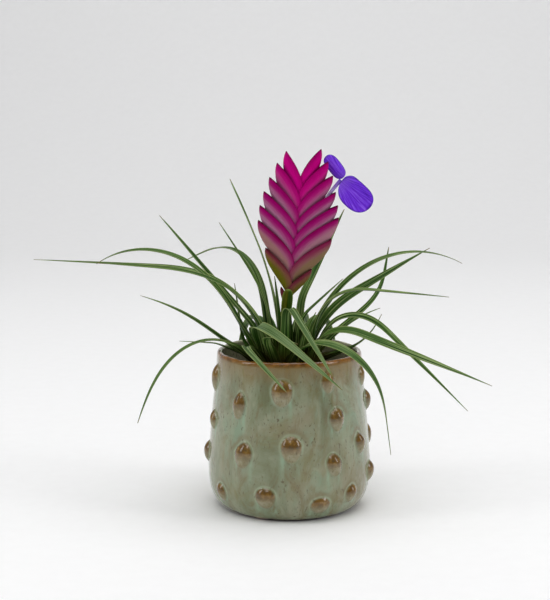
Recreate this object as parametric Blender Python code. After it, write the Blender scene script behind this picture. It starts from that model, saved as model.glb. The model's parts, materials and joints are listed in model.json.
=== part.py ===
"""A flattened-spike bromeliad, Tillandsia cyanea kind, planted in a knobbed stoneware pot.

Metres, +Z up. The origin is the centre of the pot's foot, +X is the plant's right and -Y its front.
"""
import math

import bmesh
import bpy
import numpy as np

MM = 0.001
GAP = 0.3 * MM  # air left between pieces that rest on each other

# Pot: a thrown bellied cylinder with a rounded lip, wall about 5 mm
POT_HEIGHT = 106 * MM
FOOT_RADIUS = 41 * MM
BELLY_RADIUS = 54.8 * MM
LIP_RADIUS = 48.4 * MM
LIP_WALL = 3.4 * MM
BODY_WALL = 5.5 * MM
FLOOR_THICKNESS = 7 * MM
POT_SEGMENTS = 72

# Potting mix and plant
SOIL_LEVEL = 91 * MM
CROWN_CENTRE = (-2 * MM, 0.0)
CROWN_RADIUS = 24.5 * MM
CROWN_HEIGHT = 3 * MM
CROWN_DOME = 3 * MM
LEAF_RINGS = (21.6 * MM, 17.3 * MM, 12.8 * MM, 8.4 * MM)
SHEATH_WIDTH = 7.8 * MM
SHEATH_LENGTH = 16 * MM
LEAF_THICKNESS = 1.1 * MM
LEAF_TIP = 0.4 * MM
LEAF_STEPS = 20

# Flower spike
SCAPE_RADIUS = 3.4 * MM
SPIKE_FOOT = (-1.2 * MM, 0.0, 145 * MM)
SPIKE_LEAN = 6.2  # degrees to the plant's right
RACHIS_RADIUS = 0.9 * MM
RACHIS_TOP = 72 * MM
BRACT_FIRST = -10 * MM
BRACT_STEP = 5 * MM
BRACT_WALL = 0.3 * MM
# Bract lengths, how far each leans out from the stalk, and how much more its keel leans at its start
BRACT_LENGTHS = (
    14, 26.5, 33.4, 42.2, 43.7, 47.8, 43.7, 45.3, 42.3, 42.7, 40.6, 41.5, 38.7, 38.5, 35.3, 34.2)
BRACT_LEANS = (20, 33, 32.5, 37, 34.5, 36.5, 34.5, 36.5, 33, 35, 30, 31, 25, 26.5, 18.5, 20)
BRACT_FLARES = (0, 2, 2, 10, 2, 18, 5, 14, 16, 8, 6, 8, 18, 26, 22, 22)
BRACT_ROWS = 9
BRACT_COLUMNS = 3

# Flower, measured on the spike: across to the right, up the axis, to the back (mm)
TUBE_PATH = ((13.9, 56.5, 0.0), (17.2, 62.9, 0.0), (20.5, 68.5, 0.0), (23.6, 73.6, 0.0), (26.9, 78.2, 0.0))
TUBE_RADII = (0.9, 0.95, 1.1, 1.25, 1.4)
PETAL_THICKNESS = 0.35 * MM
PETALS = (
    # name, start, direction from +across, length, width, squareness, depth at the tip, cupping
    ("petal_1", (27.5, 77.2, -1.9), -36, 25.0, 19.0, 2.4, -4.6, -2.2),
    ("petal_2", (28.2, 79.8, 2.1), 135, 17.5, 8.6, 3.4, 9.5, 1.5),
    ("petal_3", (28.4, 78.6, 3.2), -32, 14.0, 11.0, 2.4, 14.0, 2.0),
)

# Knobs pressed out of the wall: angle from the front towards +X, height, width, tallness, rise
KNOBS = (
    (-77, 91, 11, 18, 3.4), (-6, 88, 14, 17, 3.6), (30, 94, 10, 14, 2.8), (74, 92, 9, 13, 2.4),
    (112, 88, 12, 16, 3.4), (148, 93, 11, 15, 3.0), (182, 87, 13, 17, 3.6), (-146, 92, 11, 16, 3.2),
    (-110, 86, 12, 15, 3.2),
    (-72, 63, 9, 13, 3.2), (-40, 78, 11, 18, 3.8), (36, 69, 12, 15, 3.8), (86, 74, 11, 14, 3.8),
    (126, 66, 12, 16, 3.6), (164, 64, 10, 15, 3.2), (-160, 70, 12, 15, 3.6), (-124, 63, 11, 15, 3.4),
    (-84, 39, 10, 14, 3.4), (-34, 46, 14, 17, 3.2), (1, 52, 14, 17, 3.6), (59, 50, 11, 14, 3.8),
    (32, 40, 12, 15, 3.6), (101, 47, 12, 16, 3.6), (140, 42, 12, 15, 3.4), (176, 44, 13, 17, 3.6),
    (-148, 46, 11, 15, 3.4), (-114, 38, 12, 15, 3.4),
    (-17, 19, 14, 14, 3.0), (22, 13, 14, 11, 2.0), (48, 18, 11, 12, 3.2), (77, 27, 12, 14, 3.6),
    (118, 20, 12, 13, 3.2), (156, 17, 12, 12, 3.0), (-166, 21, 12, 13, 3.2), (-134, 16, 11, 12, 3.0),
    (-56, 17, 11, 12, 2.6),
)

# Leaves, counter-clockwise on each ring. Ring 0 is the outermost and the oldest. Angles are degrees
# from +X: seat is the place on the ring and heading the direction that the leaf sets off in. The
# rise at the base turns into the rise at the tip over one stretch of the leaf (start, length as
# shares of the leaf), while the heading turns by sway. Roll turns the middle of the blade about its
# own line. Length and blade width are millimetres.
LEAVES = (
    # name, ring, seat, heading, length, blade, rise, tip rise, start, stretch, sway, roll
    ("leaf_01", 0, 31, 22, 63, 4.0, 46, 12, 0.05, 1.0, 12, 0),
    ("leaf_02", 0, 55, 34, 120, 4.0, 30, 42, 0.40, 0.45, 42, 50),
    ("leaf_03", 0, 80, 76, 112, 6.5, 56, -55, -0.05, 0.9, 8, 8),
    ("leaf_04", 0, 106, 104, 108, 6.5, 54, -58, -0.05, 0.9, -6, -8),
    ("leaf_05", 0, 8, 6, 56, 4.0, 22, 64, 0.30, 0.7, 0, 0),
    ("leaf_06", 0, 132, 146, 62, 3.0, 12, 81, 0.05, 0.45, 0, 0),
    ("leaf_07", 0, 155, 188, 56, 3.0, 24, 6, 0.45, 0.2, 6, 0),
    ("leaf_08", 0, 179, 196, 92, 5.5, 38, 20, 0.35, 0.7, 0, -25),
    ("leaf_09", 0, 203, 208, 121, 5.0, 80, -66, -0.35, 1.35, 10, 0),
    ("leaf_10", 0, 227, 205, 96, 5.5, 64, -20, -0.10, 0.7, 95, 0),
    ("leaf_11", 1, 212, 220, 123, 9.0, 86, -32, -0.12, 0.8, 107, 20),
    ("leaf_12", 0, 281, 277, 135, 6.5, 84, -82, -0.25, 1.12, 94, 30),
    ("leaf_13", 0, 320, 331, 141, 7.5, 82, -19, -0.01, 0.4, 14, 35),
    ("leaf_14", 0, 345, 340, 147, 6.5, 84, -44, 0.02, 0.5, 13, 30),
    ("leaf_15", 1, 26, 21, 121, 8.0, 82, 26, -0.10, 0.65, 1, 30),
    ("leaf_16", 1, 58, 62, 104, 6.5, 68, -50, -0.1, 0.9, 10, 6),
    ("leaf_17", 1, 89, 88, 108, 6.5, 68, -48, -0.1, 0.9, 6, -6),
    ("leaf_18", 1, 120, 114, 104, 6.5, 68, -50, -0.1, 0.9, -6, 6),
    ("leaf_19", 1, 152, 151, 127, 7.0, 82, 44, -0.04, 0.32, 0, 0),
    ("leaf_20", 1, 184, 189, 148, 8.5, 62, -108, 0.16, 1.55, -4, -20),
    ("leaf_21", 0, 251, 232, 60, 6.0, 62, -14, 0.08, 0.9, 105, 0),
    ("leaf_22", 1, 268, 288, 110, 6.4, 88, -33, 0.28, 0.18, 10, 0),
    ("leaf_23", 1, 305, 320, 40, 5.0, 84, 60, 0.0, 1.0, 0, 0),
    ("leaf_24", 1, 350, 347, 126, 6.5, 84, -4, 0.12, 0.5, 6, 5),
    ("leaf_25", 2, 12, 15, 151, 6.5, 83, -62, -0.235, 1.8, 3, 15),
    ("leaf_26", 2, 50, 72, 127, 5.5, 84, 39, 0.2, 0.2, -10, 30),
    ("leaf_27", 3, 122, 140, 56, 4.5, 88, 82, 0.1, 0.9, 0, 0),
    ("leaf_28", 2, 146, 137, 138, 7.5, 80, -22, 0.23, 0.63, 0, 0),
    ("leaf_29", 2, 187, 174, 194, 6.5, 84, 2, -0.07, 0.66, -2, -10),
    ("leaf_30", 3, 20, 42, 74, 3.5, 86, 28, 0.20, 0.33, 3, 0),
    ("leaf_31", 2, 102, 119, 142, 5.5, 74, 45, 0.1, 0.6, 0, 60),
    ("leaf_32", 3, 188, 150, 104, 3.5, 84, 50, 0.10, 0.6, -5, 0),
    ("leaf_33", 2, 229, 194, 150, 5.5, 84, 5, -0.12, 0.9, -12, -15),
    ("leaf_34", 3, 70, 110, 75, 3.0, 84, 12, 0.70, 0.3, 66, 0),
)


def clear_scene():
    """Start from an empty scene."""
    for old in list(bpy.data.objects):
        bpy.data.objects.remove(old, do_unlink=True)


def make_material(name, colour, roughness, metallic=0.0):
    """Plain Principled material with one colour."""
    material = bpy.data.materials.new(name)
    material.use_nodes = True
    shader = material.node_tree.nodes["Principled BSDF"]
    shader.inputs["Base Color"].default_value = (*colour, 1.0)
    shader.inputs["Roughness"].default_value = roughness
    shader.inputs["Metallic"].default_value = metallic
    material.diffuse_color = (*colour, 1.0)
    return material


def add_piece(name, points, faces, material, sharp_angle=35.0):
    """Make a named object from points and faces, with its faces turned outwards."""
    mesh = bpy.data.meshes.new(name)
    mesh.from_pydata([tuple(map(float, p)) for p in points], [], faces)
    work = bmesh.new()
    work.from_mesh(mesh)
    bmesh.ops.recalc_face_normals(work, faces=work.faces)
    if work.calc_volume(signed=True) < 0.0:
        bmesh.ops.reverse_faces(work, faces=work.faces)
    work.to_mesh(mesh)
    work.free()
    mesh.shade_smooth()
    mesh.set_sharp_from_angle(angle=math.radians(sharp_angle))
    mesh.materials.append(material)
    piece = bpy.data.objects.new(name, mesh)
    bpy.context.collection.objects.link(piece)
    return piece


def ring_faces(rings, segments):
    """Quads joining a stack of closed rings, with a face closing each end."""
    faces = []
    for row in range(rings - 1):
        for column in range(segments):
            a = row * segments + column
            b = row * segments + (column + 1) % segments
            faces.append((a, b, b + segments, a + segments))
    faces.append(tuple(reversed(range(segments))))
    faces.append(tuple((rings - 1) * segments + column for column in range(segments)))
    return faces


def lathe_faces(rows, segments):
    """Faces of a turned solid: rows of rings between a first and a last point on the axis."""
    faces = []
    last = 1 + rows * segments
    for column in range(segments):
        following = (column + 1) % segments
        faces.append((0, 1 + following, 1 + column))
        for row in range(rows - 1):
            a = 1 + row * segments + column
            b = 1 + row * segments + following
            faces.append((a, b, b + segments, a + segments))
        top = 1 + (rows - 1) * segments
        faces.append((top + column, top + following, last))
    return faces


def ease(value):
    """Smooth step from 0 to 1."""
    x = np.clip(value, 0.0, 1.0)
    return x * x * (3.0 - 2.0 * x)


# ---------------------------------------------------------------- pot

def outer_radius(height):
    """Radius of the thrown wall: quick curve out of the foot, belly at a third, slow taper to the lip."""
    belly_height = 33 * MM
    below = np.clip((belly_height - height) / belly_height, 0.0, 1.0)
    above = np.clip((height - belly_height) / (POT_HEIGHT - belly_height), 0.0, 1.0)
    foot_curve = (BELLY_RADIUS - FOOT_RADIUS) * (1.0 - (1.0 - below ** 3.4) ** 0.55)
    taper = (BELLY_RADIUS - LIP_RADIUS) * (1.0 - (1.0 - above) ** 1.5) * (0.55 + 0.45 * above)
    return BELLY_RADIUS - foot_curve - taper


def inner_radius(height):
    """Radius of the inside: the wall thins from the body to the lip and closes to a flat floor."""
    wall = LIP_WALL + (BODY_WALL - LIP_WALL) * ease((POT_HEIGHT - height) / (25 * MM))
    corner = 7 * MM * (1.0 - ease((height - FLOOR_THICKNESS) / (12 * MM)))
    return outer_radius(height) - wall - corner


def knob_rise(angle, height):
    """How far the pressed-out knobs lift the wall: steep upper edge, long fading lower side."""
    rise = np.zeros_like(angle)
    for at, level, width, tall, proud in KNOBS:
        turn = (angle - math.radians(at) + math.pi) % (2.0 * math.pi) - math.pi
        across = turn * outer_radius(height) / (0.5 * width * MM)
        up = (height - level * MM) / (0.5 * tall * MM)
        up = np.where(up > 0.0, up * 1.15, up * 0.8)
        reach = np.clip(1.0 - across ** 2 - up ** 2, 0.0, 1.0)
        rise = np.maximum(rise, proud * MM * reach ** 0.8)
    fade = ease(height / (7 * MM)) * ease((POT_HEIGHT - 3 * MM - height) / (5 * MM))
    return rise * fade


def make_pot():
    """One hollow solid: knobbed outside, rounded lip, plain inside with a flat floor."""
    segments = POT_SEGMENTS
    turn = np.arange(segments) * 2.0 * math.pi / segments
    lip = 0.5 * LIP_WALL
    outside = np.concatenate(([0.0, 0.8, 2.2, 4.5, 7.5], np.arange(11.0, 101.0, 4.1), [102.6])) * MM
    rows = []
    for height in outside:
        swell = knob_rise(turn, np.full(segments, height))
        rows.append((outer_radius(height) + swell, height))
    lip_centre = LIP_RADIUS - lip
    for angle in np.radians((10.0, 45.0, 80.0, 115.0, 150.0, 180.0)):
        rows.append((lip_centre + lip * math.cos(angle), POT_HEIGHT - lip + lip * math.sin(angle)))
    for height in np.array((98.0, 90.0, 78.0, 62.0, 46.0, 32.0, 21.0, 13.0, 8.5)) * MM:
        rows.append((inner_radius(height), height))
    rows.append((inner_radius(8.5 * MM) - 3 * MM, FLOOR_THICKNESS))
    points = [(0.0, 0.0, 0.0)]
    for radius, height in rows:
        radius = np.broadcast_to(radius, turn.shape)
        points.extend(zip(radius * np.sin(turn), -radius * np.cos(turn), np.full(segments, height)))
    points.append((0.0, 0.0, FLOOR_THICKNESS))
    add_piece("pot", points, lathe_faces(len(rows), segments),
              make_material("celadon_glaze", (0.27, 0.33, 0.25), 0.15), 60.0)


def soil_height(x, y):
    """Level of the mix: gentle lumps that die out under the plant and at the wall."""
    radius = np.hypot(x, y)
    lumps = np.sin(x * 410.0 + 1.3) * np.cos(y * 370.0 - 0.4) + 0.5 * np.sin(x * 900.0 - y * 760.0)
    free = ease((radius - 27 * MM) / (4 * MM)) * ease((43.4 * MM - radius) / (3 * MM))
    return SOIL_LEVEL + 1.1 * MM * lumps * free


def make_potting_mix():
    """The body of bark and peat that fills the pot, a hair inside its wall."""
    segments = 40
    turn = np.arange(segments) * 2.0 * math.pi / segments
    rows = [(inner_radius(8.5 * MM) - 3.4 * MM, FLOOR_THICKNESS + GAP)]
    for height in np.array((9.2, 13.0, 21.0, 32.0, 46.0, 62.0, 78.0, 89.5)) * MM:
        rows.append((inner_radius(height) - 2.0 * GAP, height))
    points = [(0.0, 0.0, FLOOR_THICKNESS + GAP)]
    for radius, height in rows:
        points.extend((radius * math.sin(t), -radius * math.cos(t), height) for t in turn)
    top_radii = np.array((42.6, 39.5, 36.0, 32.5, 29.0, 25.5, 14.0)) * MM
    for radius in top_radii:
        x = radius * np.sin(turn)
        y = -radius * np.cos(turn)
        points.extend(zip(x, y, soil_height(x, y)))
    points.append((0.0, 0.0, SOIL_LEVEL))
    add_piece("potting_mix", points, lathe_faces(len(rows) + len(top_radii), segments),
              make_material("bark_and_peat", (0.045, 0.03, 0.02), 0.9))


# ---------------------------------------------------------------- crown and leaves

def crown_top(radius):
    """Height of the crown's domed top at a distance from its middle."""
    return SOIL_LEVEL + GAP + CROWN_HEIGHT + CROWN_DOME * (1.0 - (radius / CROWN_RADIUS) ** 2)


def make_crown():
    """The short squat stem that every leaf grows from, level with the mix."""
    segments = 32
    turn = np.arange(segments) * 2.0 * math.pi / segments
    radii = np.array((1.0, 1.0, 0.82, 0.6, 0.35, 0.12)) * CROWN_RADIUS
    heights = [SOIL_LEVEL + GAP] + [crown_top(radius) for radius in radii[1:]]
    points = [(CROWN_CENTRE[0], CROWN_CENTRE[1], SOIL_LEVEL + GAP)]
    for radius, height in zip(radii, heights):
        x = CROWN_CENTRE[0] + radius * np.cos(turn)
        y = CROWN_CENTRE[1] + radius * np.sin(turn)
        points.extend(zip(x, y, np.full(segments, height)))
    points.append((CROWN_CENTRE[0], CROWN_CENTRE[1], crown_top(0.0)))
    add_piece("crown", points, lathe_faces(len(radii), segments),
              make_material("crown_stem", (0.05, 0.03, 0.02), 0.7))


def leaf_midline(ring, seat, heading, length, rise, tip_rise, start, stretch, sway, steps):
    """Walk along the leaf: its rise and heading ease from the base values to the tip values.

    Returns the points of the midline, and for each point the direction forward, to the leaf's
    left and out of its upper face.
    """
    share = np.linspace(0.0, 1.0, steps + 1)
    bend = ease((share - start) / stretch)
    pitch = np.radians(rise + (tip_rise - rise) * bend)
    yaw = np.radians(heading + sway * bend)
    forward = np.stack((np.cos(pitch) * np.cos(yaw), np.cos(pitch) * np.sin(yaw), np.sin(pitch)), 1)
    left = np.stack((-np.sin(yaw), np.cos(yaw), np.zeros_like(yaw)), 1)
    upper = np.cross(forward, left)
    radius = LEAF_RINGS[ring]
    base = np.array((
        CROWN_CENTRE[0] + radius * math.cos(math.radians(seat)),
        CROWN_CENTRE[1] + radius * math.sin(math.radians(seat)),
        crown_top(radius) + 1.6 * MM,
    ))
    walk = 0.5 * (forward[1:] + forward[:-1]) * (length * MM / steps)
    points = base + np.concatenate((np.zeros((1, 3)), np.cumsum(walk, 0)))
    return share, points, forward, left, upper


def leaf_width(share, length, blade):
    """Full width: broad clasping sheath, even blade, long fine tip."""
    sheath = np.exp(-((share * length * MM / SHEATH_LENGTH) ** 2))
    clasp = min(SHEATH_WIDTH, 1.9 * blade * MM)
    taper = (1.0 - share ** 2.4) ** 0.85
    return blade * MM * taper * (1.0 - sheath) + clasp * sheath + LEAF_TIP * share


def make_leaf(name, ring, seat, heading, length, blade, rise, tip_rise, start, stretch, sway, roll,
              material):
    """A thin channelled strip: two raised edges, a keel below and a groove above."""
    share, points, forward, left, upper = leaf_midline(
        ring, seat, heading, length, rise, tip_rise, start, stretch, sway, LEAF_STEPS)
    turn = np.radians(roll * np.sin(math.pi * share))[:, None]
    left, upper = left * np.cos(turn) + upper * np.sin(turn), upper * np.cos(turn) - left * np.sin(turn)
    half = 0.5 * leaf_width(share, length, blade)[:, None]
    sag = 0.42 * half
    skin = 0.5 * LEAF_THICKNESS * np.clip(half / (0.5 * SHEATH_WIDTH), 0.25, 1.0)
    rows = np.stack((
        points + left * half + upper * sag,
        points - upper * skin,
        points - left * half + upper * sag,
        points + upper * skin,
    ), 1)
    add_piece(name, rows.reshape(-1, 3), ring_faces(LEAF_STEPS + 1, 4), material, 80.0)


def make_leaves():
    """The rosette: every leaf is its own piece."""
    material = make_material("leaf_green", (0.035, 0.13, 0.02), 0.42)
    for leaf in LEAVES:
        make_leaf(*leaf, material)


# ---------------------------------------------------------------- flower spike

def spike_frame():
    """Foot, right, up and back directions of the flat spike, which leans a little."""
    lean = math.radians(SPIKE_LEAN)
    right = np.array((math.cos(lean), 0.0, -math.sin(lean)))
    up = np.array((math.sin(lean), 0.0, math.cos(lean)))
    return np.array(SPIKE_FOOT), right, up, np.array((0.0, 1.0, 0.0))


def place_on_spike(across, along, depth):
    """Spike measures (to the right, up the axis, to the back) as world points."""
    foot, right, up, back = spike_frame()
    across, along, depth = (np.asarray(value, float)[..., None] for value in (across, along, depth))
    return foot + across * right + along * up + depth * back


def tube_rows(centres, radii, segments):
    """Rings of points round a path, for a closed tube."""
    centres = np.asarray(centres, float)
    radii = np.asarray(radii, float)
    forward = np.gradient(centres, axis=0)
    forward /= np.linalg.norm(forward, axis=1)[:, None]
    side = np.cross(forward, (0.0, 1.0, 0.0))
    side /= np.linalg.norm(side, axis=1)[:, None]
    other = np.cross(forward, side)
    turn = np.arange(segments) * 2.0 * math.pi / segments
    ring = side[:, None] * np.cos(turn)[None, :, None] + other[:, None] * np.sin(turn)[None, :, None]
    return (centres[:, None] + ring * radii[:, None, None]).reshape(-1, 3)


def make_scape():
    """The flower stalk: stout up to the spike, then thin between the bracts."""
    segments = 12
    base_height = crown_top(0.0) + GAP
    foot = place_on_spike(0.0, BRACT_FIRST - 5 * MM, 0.0)
    base = np.array((CROWN_CENTRE[0], CROWN_CENTRE[1], base_height))
    lower = [base + (foot - base) * share for share in (0.0, 0.35, 0.7, 1.0)]
    upper = [place_on_spike(0.0, along, 0.0) for along in (BRACT_FIRST - 2 * MM, 0.25 * RACHIS_TOP,
                                                             0.6 * RACHIS_TOP, RACHIS_TOP)]
    radii = [SCAPE_RADIUS, 0.9 * SCAPE_RADIUS, 0.85 * SCAPE_RADIUS, 0.8 * SCAPE_RADIUS,
             RACHIS_RADIUS, RACHIS_RADIUS, RACHIS_RADIUS, 0.6 * RACHIS_RADIUS]
    points = tube_rows(lower + upper, radii, segments)
    add_piece("scape", points, ring_faces(len(radii), segments),
              make_material("scape_stem", (0.10, 0.09, 0.03), 0.6))


def bezier(points, share):
    """Cubic curve through four control points given as (across, along)."""
    p0, p1, p2, p3 = (np.asarray(point, float) for point in points)
    t = share[:, None]
    return (1 - t) ** 3 * p0 + 3 * (1 - t) ** 2 * t * p1 + 3 * (1 - t) * t ** 2 * p2 + t ** 3 * p3


def bract_outline(number):
    """Keel and margin curves of a bract, drawn as if it grew to the right of the axis."""
    base = BRACT_FIRST + number * BRACT_STEP
    length = BRACT_LENGTHS[number] * MM
    lean = math.radians(BRACT_LEANS[number])
    tip = np.array((length * math.sin(lean), base + length * math.cos(lean)))
    grown = tip[1] - base
    keel_start = lean + math.radians(BRACT_FLARES[number])
    keel_end = lean - math.radians(42.0)
    overhang = 0.05 if number % 2 else 0.165
    keel = (
        (RACHIS_RADIUS + 0.5 * MM, base),
        (RACHIS_RADIUS + 0.33 * length * math.sin(keel_start), base + 0.33 * length * math.cos(keel_start)),
        tip - 0.28 * length * np.array((math.sin(keel_end), math.cos(keel_end))),
        tip,
    )
    margin = (
        (-RACHIS_RADIUS - 0.4 * MM, base + 0.03 * grown),
        (-overhang * length, base + 0.43 * grown),
        (0.37 * tip[0], base + 0.745 * grown),
        tip,
    )
    return base, keel, margin


def bract_sheet(number, rows, columns):
    """Outer skin of a boat-shaped bract as a grid of (across, along, depth).

    The boat is folded on its keel. Each wall runs from the keel to a margin just past the axis,
    and stands further from the middle the higher it is above the bract's base, so that every
    bract wraps the younger ones.
    """
    base, keel, margin = bract_outline(number)
    share = np.linspace(0.0, 0.985, rows)
    wall = np.linspace(-1.0, 1.0, 2 * columns + 1)
    keel_line = bezier(keel, share)[:, None, :]
    margin_line = bezier(margin, share)[:, None, :]
    reach = np.abs(wall)[None, :, None]
    face = keel_line * (1.0 - reach) + margin_line * reach
    height = np.clip(face[..., 1] - base, 0.0, None)
    swell = 1.9 * MM + 0.06 * height + 1.4 * MM * (1.0 - np.exp(-height / (12 * MM)))
    section = np.sqrt(np.clip(1.0 - (1.0 - np.abs(wall)) ** 3, 0.0, 1.0))[None, :]
    closing = np.sqrt(np.clip(1.0 - share ** 8, 0.0, 1.0))[:, None]
    depth = swell * section * closing * np.sign(wall)[None, :]
    side = 1.0 if number % 2 else -1.0
    return place_on_spike(side * face[..., 0], face[..., 1], depth)


def make_bract(number, material):
    """A thin closed boat: outer skin, the same skin set in by the wall, and rims joining them."""
    rows, columns = BRACT_ROWS, BRACT_COLUMNS
    outer = bract_sheet(number, rows, columns)
    across = np.gradient(outer, axis=1)
    along = np.gradient(outer, axis=0)
    normal = np.cross(across, along)
    normal /= np.linalg.norm(normal, axis=2)[..., None]
    centre = outer.mean(axis=1, keepdims=True)
    keel = outer[:, columns:columns + 1]
    outward = np.sign(np.sum(normal[:, columns:columns + 1] * (keel - centre), axis=2, keepdims=True))
    inner = outer - normal * outward * BRACT_WALL
    wide = 2 * columns + 1
    count = rows * wide
    faces = []
    for row in range(rows - 1):
        for column in range(wide - 1):
            a = row * wide + column
            faces.append((a, a + 1, a + 1 + wide, a + wide))
            faces.append((count + a, count + a + wide, count + a + 1 + wide, count + a + 1))
        for edge in (0, wide - 1):
            a = row * wide + edge
            faces.append((a, a + wide, count + a + wide, count + a))
    for row in (0, rows - 1):
        for column in range(wide - 1):
            a = row * wide + column
            faces.append((a, a + 1, count + a + 1, count + a))
    side = "right" if number % 2 else "left"
    name = f"bract_{side}_{number // 2 + 1}"
    points = np.concatenate((outer.reshape(-1, 3), inner.reshape(-1, 3)))
    add_piece(name, points, faces, material, 50.0)


def make_bracts():
    """Two ranks of eight bracts, left and right by turns, from the bottom up."""
    low = make_material("bract_base", (0.16, 0.05, 0.05), 0.5)
    high = make_material("bract_magenta", (0.40, 0.006, 0.20), 0.45)
    for number in range(len(BRACT_LENGTHS)):
        make_bract(number, low if number < 3 else high)


def plate(rows_of_points, thickness):
    """Points and faces of a closed thin plate over a grid of points."""
    grid = np.asarray(rows_of_points, float)
    normal = np.cross(np.gradient(grid, axis=1), np.gradient(grid, axis=0))
    normal /= np.maximum(np.linalg.norm(normal, axis=2), 1e-12)[..., None]
    front = grid + 0.5 * thickness * normal
    back = grid - 0.5 * thickness * normal
    rows, wide = grid.shape[:2]
    count = rows * wide
    faces = []
    for row in range(rows - 1):
        for column in range(wide - 1):
            a = row * wide + column
            faces.append((a, a + 1, a + 1 + wide, a + wide))
            faces.append((count + a, count + a + wide, count + a + 1 + wide, count + a + 1))
        for edge in (0, wide - 1):
            a = row * wide + edge
            faces.append((a, a + wide, count + a + wide, count + a))
    for row in (0, rows - 1):
        for column in range(wide - 1):
            a = row * wide + column
            faces.append((a, a + 1, count + a + 1, count + a))
    return np.concatenate((front.reshape(-1, 3), back.reshape(-1, 3))), faces


def make_flower():
    """The one open flower: a pale tube out of a right-hand bract and three spreading petals."""
    path = np.array(TUBE_PATH) * MM
    points = tube_rows(place_on_spike(path[:, 0], path[:, 1], path[:, 2]), np.array(TUBE_RADII) * MM, 10)
    add_piece("flower_tube", points, ring_faces(len(path), 10),
              make_material("flower_tube_pale", (0.62, 0.50, 0.80), 0.5))
    violet = make_material("petal_violet", (0.11, 0.03, 0.50), 0.5)
    share = 0.5 - 0.5 * np.cos(np.linspace(0.0, math.pi, 11))[:, None]
    across = np.linspace(-1.0, 1.0, 7)[None, :]
    for name, start, direction, length, width, square, tip_depth, cup in PETALS:
        angle = math.radians(direction)
        oval = np.sqrt(np.clip(1.0 - np.abs(2.0 * share - 1.0) ** square, 0.0, 1.0))
        half = 0.5 * width * oval + 0.35
        out = length * share + 0.0 * across
        side = half * across
        along_u = start[0] + out * math.cos(angle) - side * math.sin(angle)
        along_v = start[1] + out * math.sin(angle) + side * math.cos(angle)
        depth = start[2] + (tip_depth - start[2]) * share ** 1.5 + cup * across ** 2 * np.sqrt(np.sin(math.pi * share))
        grid = place_on_spike(along_u * MM, along_v * MM, depth * MM)
        points, faces = plate(grid, PETAL_THICKNESS)
        add_piece(name, points, faces, violet, 60.0)


def make_scape_bract():
    """The small leafy bract that stands in front of the spike's foot."""
    share = np.linspace(0.0, 1.0, 9)
    half = 3.4 * MM * np.sqrt(np.clip(1.0 - share ** 5, 0.03, 1.0)) * (0.8 + 0.2 * share)
    along = -16 * MM + 18.5 * MM * share
    depth = -(4.2 + 2.6 * share) * MM
    across = np.linspace(-1.0, 1.0, 5)
    grid = place_on_spike(across[None, :] * half[:, None] + 0.3 * MM, along[:, None] + 0.0 * across[None, :],
                          depth[:, None] + 0.9 * MM * across[None, :] ** 2)
    points, faces = plate(grid, 0.7 * MM)
    add_piece("scape_bract", points, faces,
              make_material("scape_bract_green", (0.06, 0.15, 0.02), 0.45), 50.0)


def main():
    """Build every piece."""
    clear_scene()
    make_pot()
    make_potting_mix()
    make_crown()
    make_leaves()
    make_scape()
    make_scape_bract()
    make_bracts()
    make_flower()


main()
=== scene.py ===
import json
import math

import bpy
import numpy as np
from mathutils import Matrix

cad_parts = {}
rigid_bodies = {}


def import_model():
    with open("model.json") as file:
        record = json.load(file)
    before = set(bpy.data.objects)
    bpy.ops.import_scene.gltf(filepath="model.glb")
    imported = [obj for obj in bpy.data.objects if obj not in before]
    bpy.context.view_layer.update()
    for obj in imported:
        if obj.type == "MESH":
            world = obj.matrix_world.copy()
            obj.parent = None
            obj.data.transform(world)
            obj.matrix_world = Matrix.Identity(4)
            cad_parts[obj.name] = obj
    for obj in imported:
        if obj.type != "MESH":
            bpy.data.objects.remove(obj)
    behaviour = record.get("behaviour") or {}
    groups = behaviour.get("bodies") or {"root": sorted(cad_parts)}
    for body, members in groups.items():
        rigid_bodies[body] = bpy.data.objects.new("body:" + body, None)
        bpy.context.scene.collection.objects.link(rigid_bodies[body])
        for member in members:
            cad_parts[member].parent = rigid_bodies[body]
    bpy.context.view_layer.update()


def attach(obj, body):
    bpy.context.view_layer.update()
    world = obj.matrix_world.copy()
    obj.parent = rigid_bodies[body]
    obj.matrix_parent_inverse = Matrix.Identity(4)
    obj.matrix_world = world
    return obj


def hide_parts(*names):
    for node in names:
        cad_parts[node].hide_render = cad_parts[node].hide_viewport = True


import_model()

MM = 0.001


# ---------------------------------------------------------------- paper sweep, lights and viewpoint
# The pot stands on a wide sheet of white paper that curves up behind it. A large soft box hangs
# overhead, one stands at each side, a small one in front, and one lights the bend of the paper.

def swatch(red, green, blue):
    """A colour as a painter reads it off a swatch, 0 to 255 a channel, turned into linear light."""
    share = np.array((red, green, blue)) / 255.0
    linear = np.where(share <= 0.04045, share / 12.92, ((share + 0.055) / 1.055) ** 2.4)
    return (*linear.tolist(), 1.0)


def socket_name(word):
    """A shader socket's own name from a plain keyword: coat_weight is Coat Weight."""
    return word.replace("_", " ").title().replace("Ior", "IOR")


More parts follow.
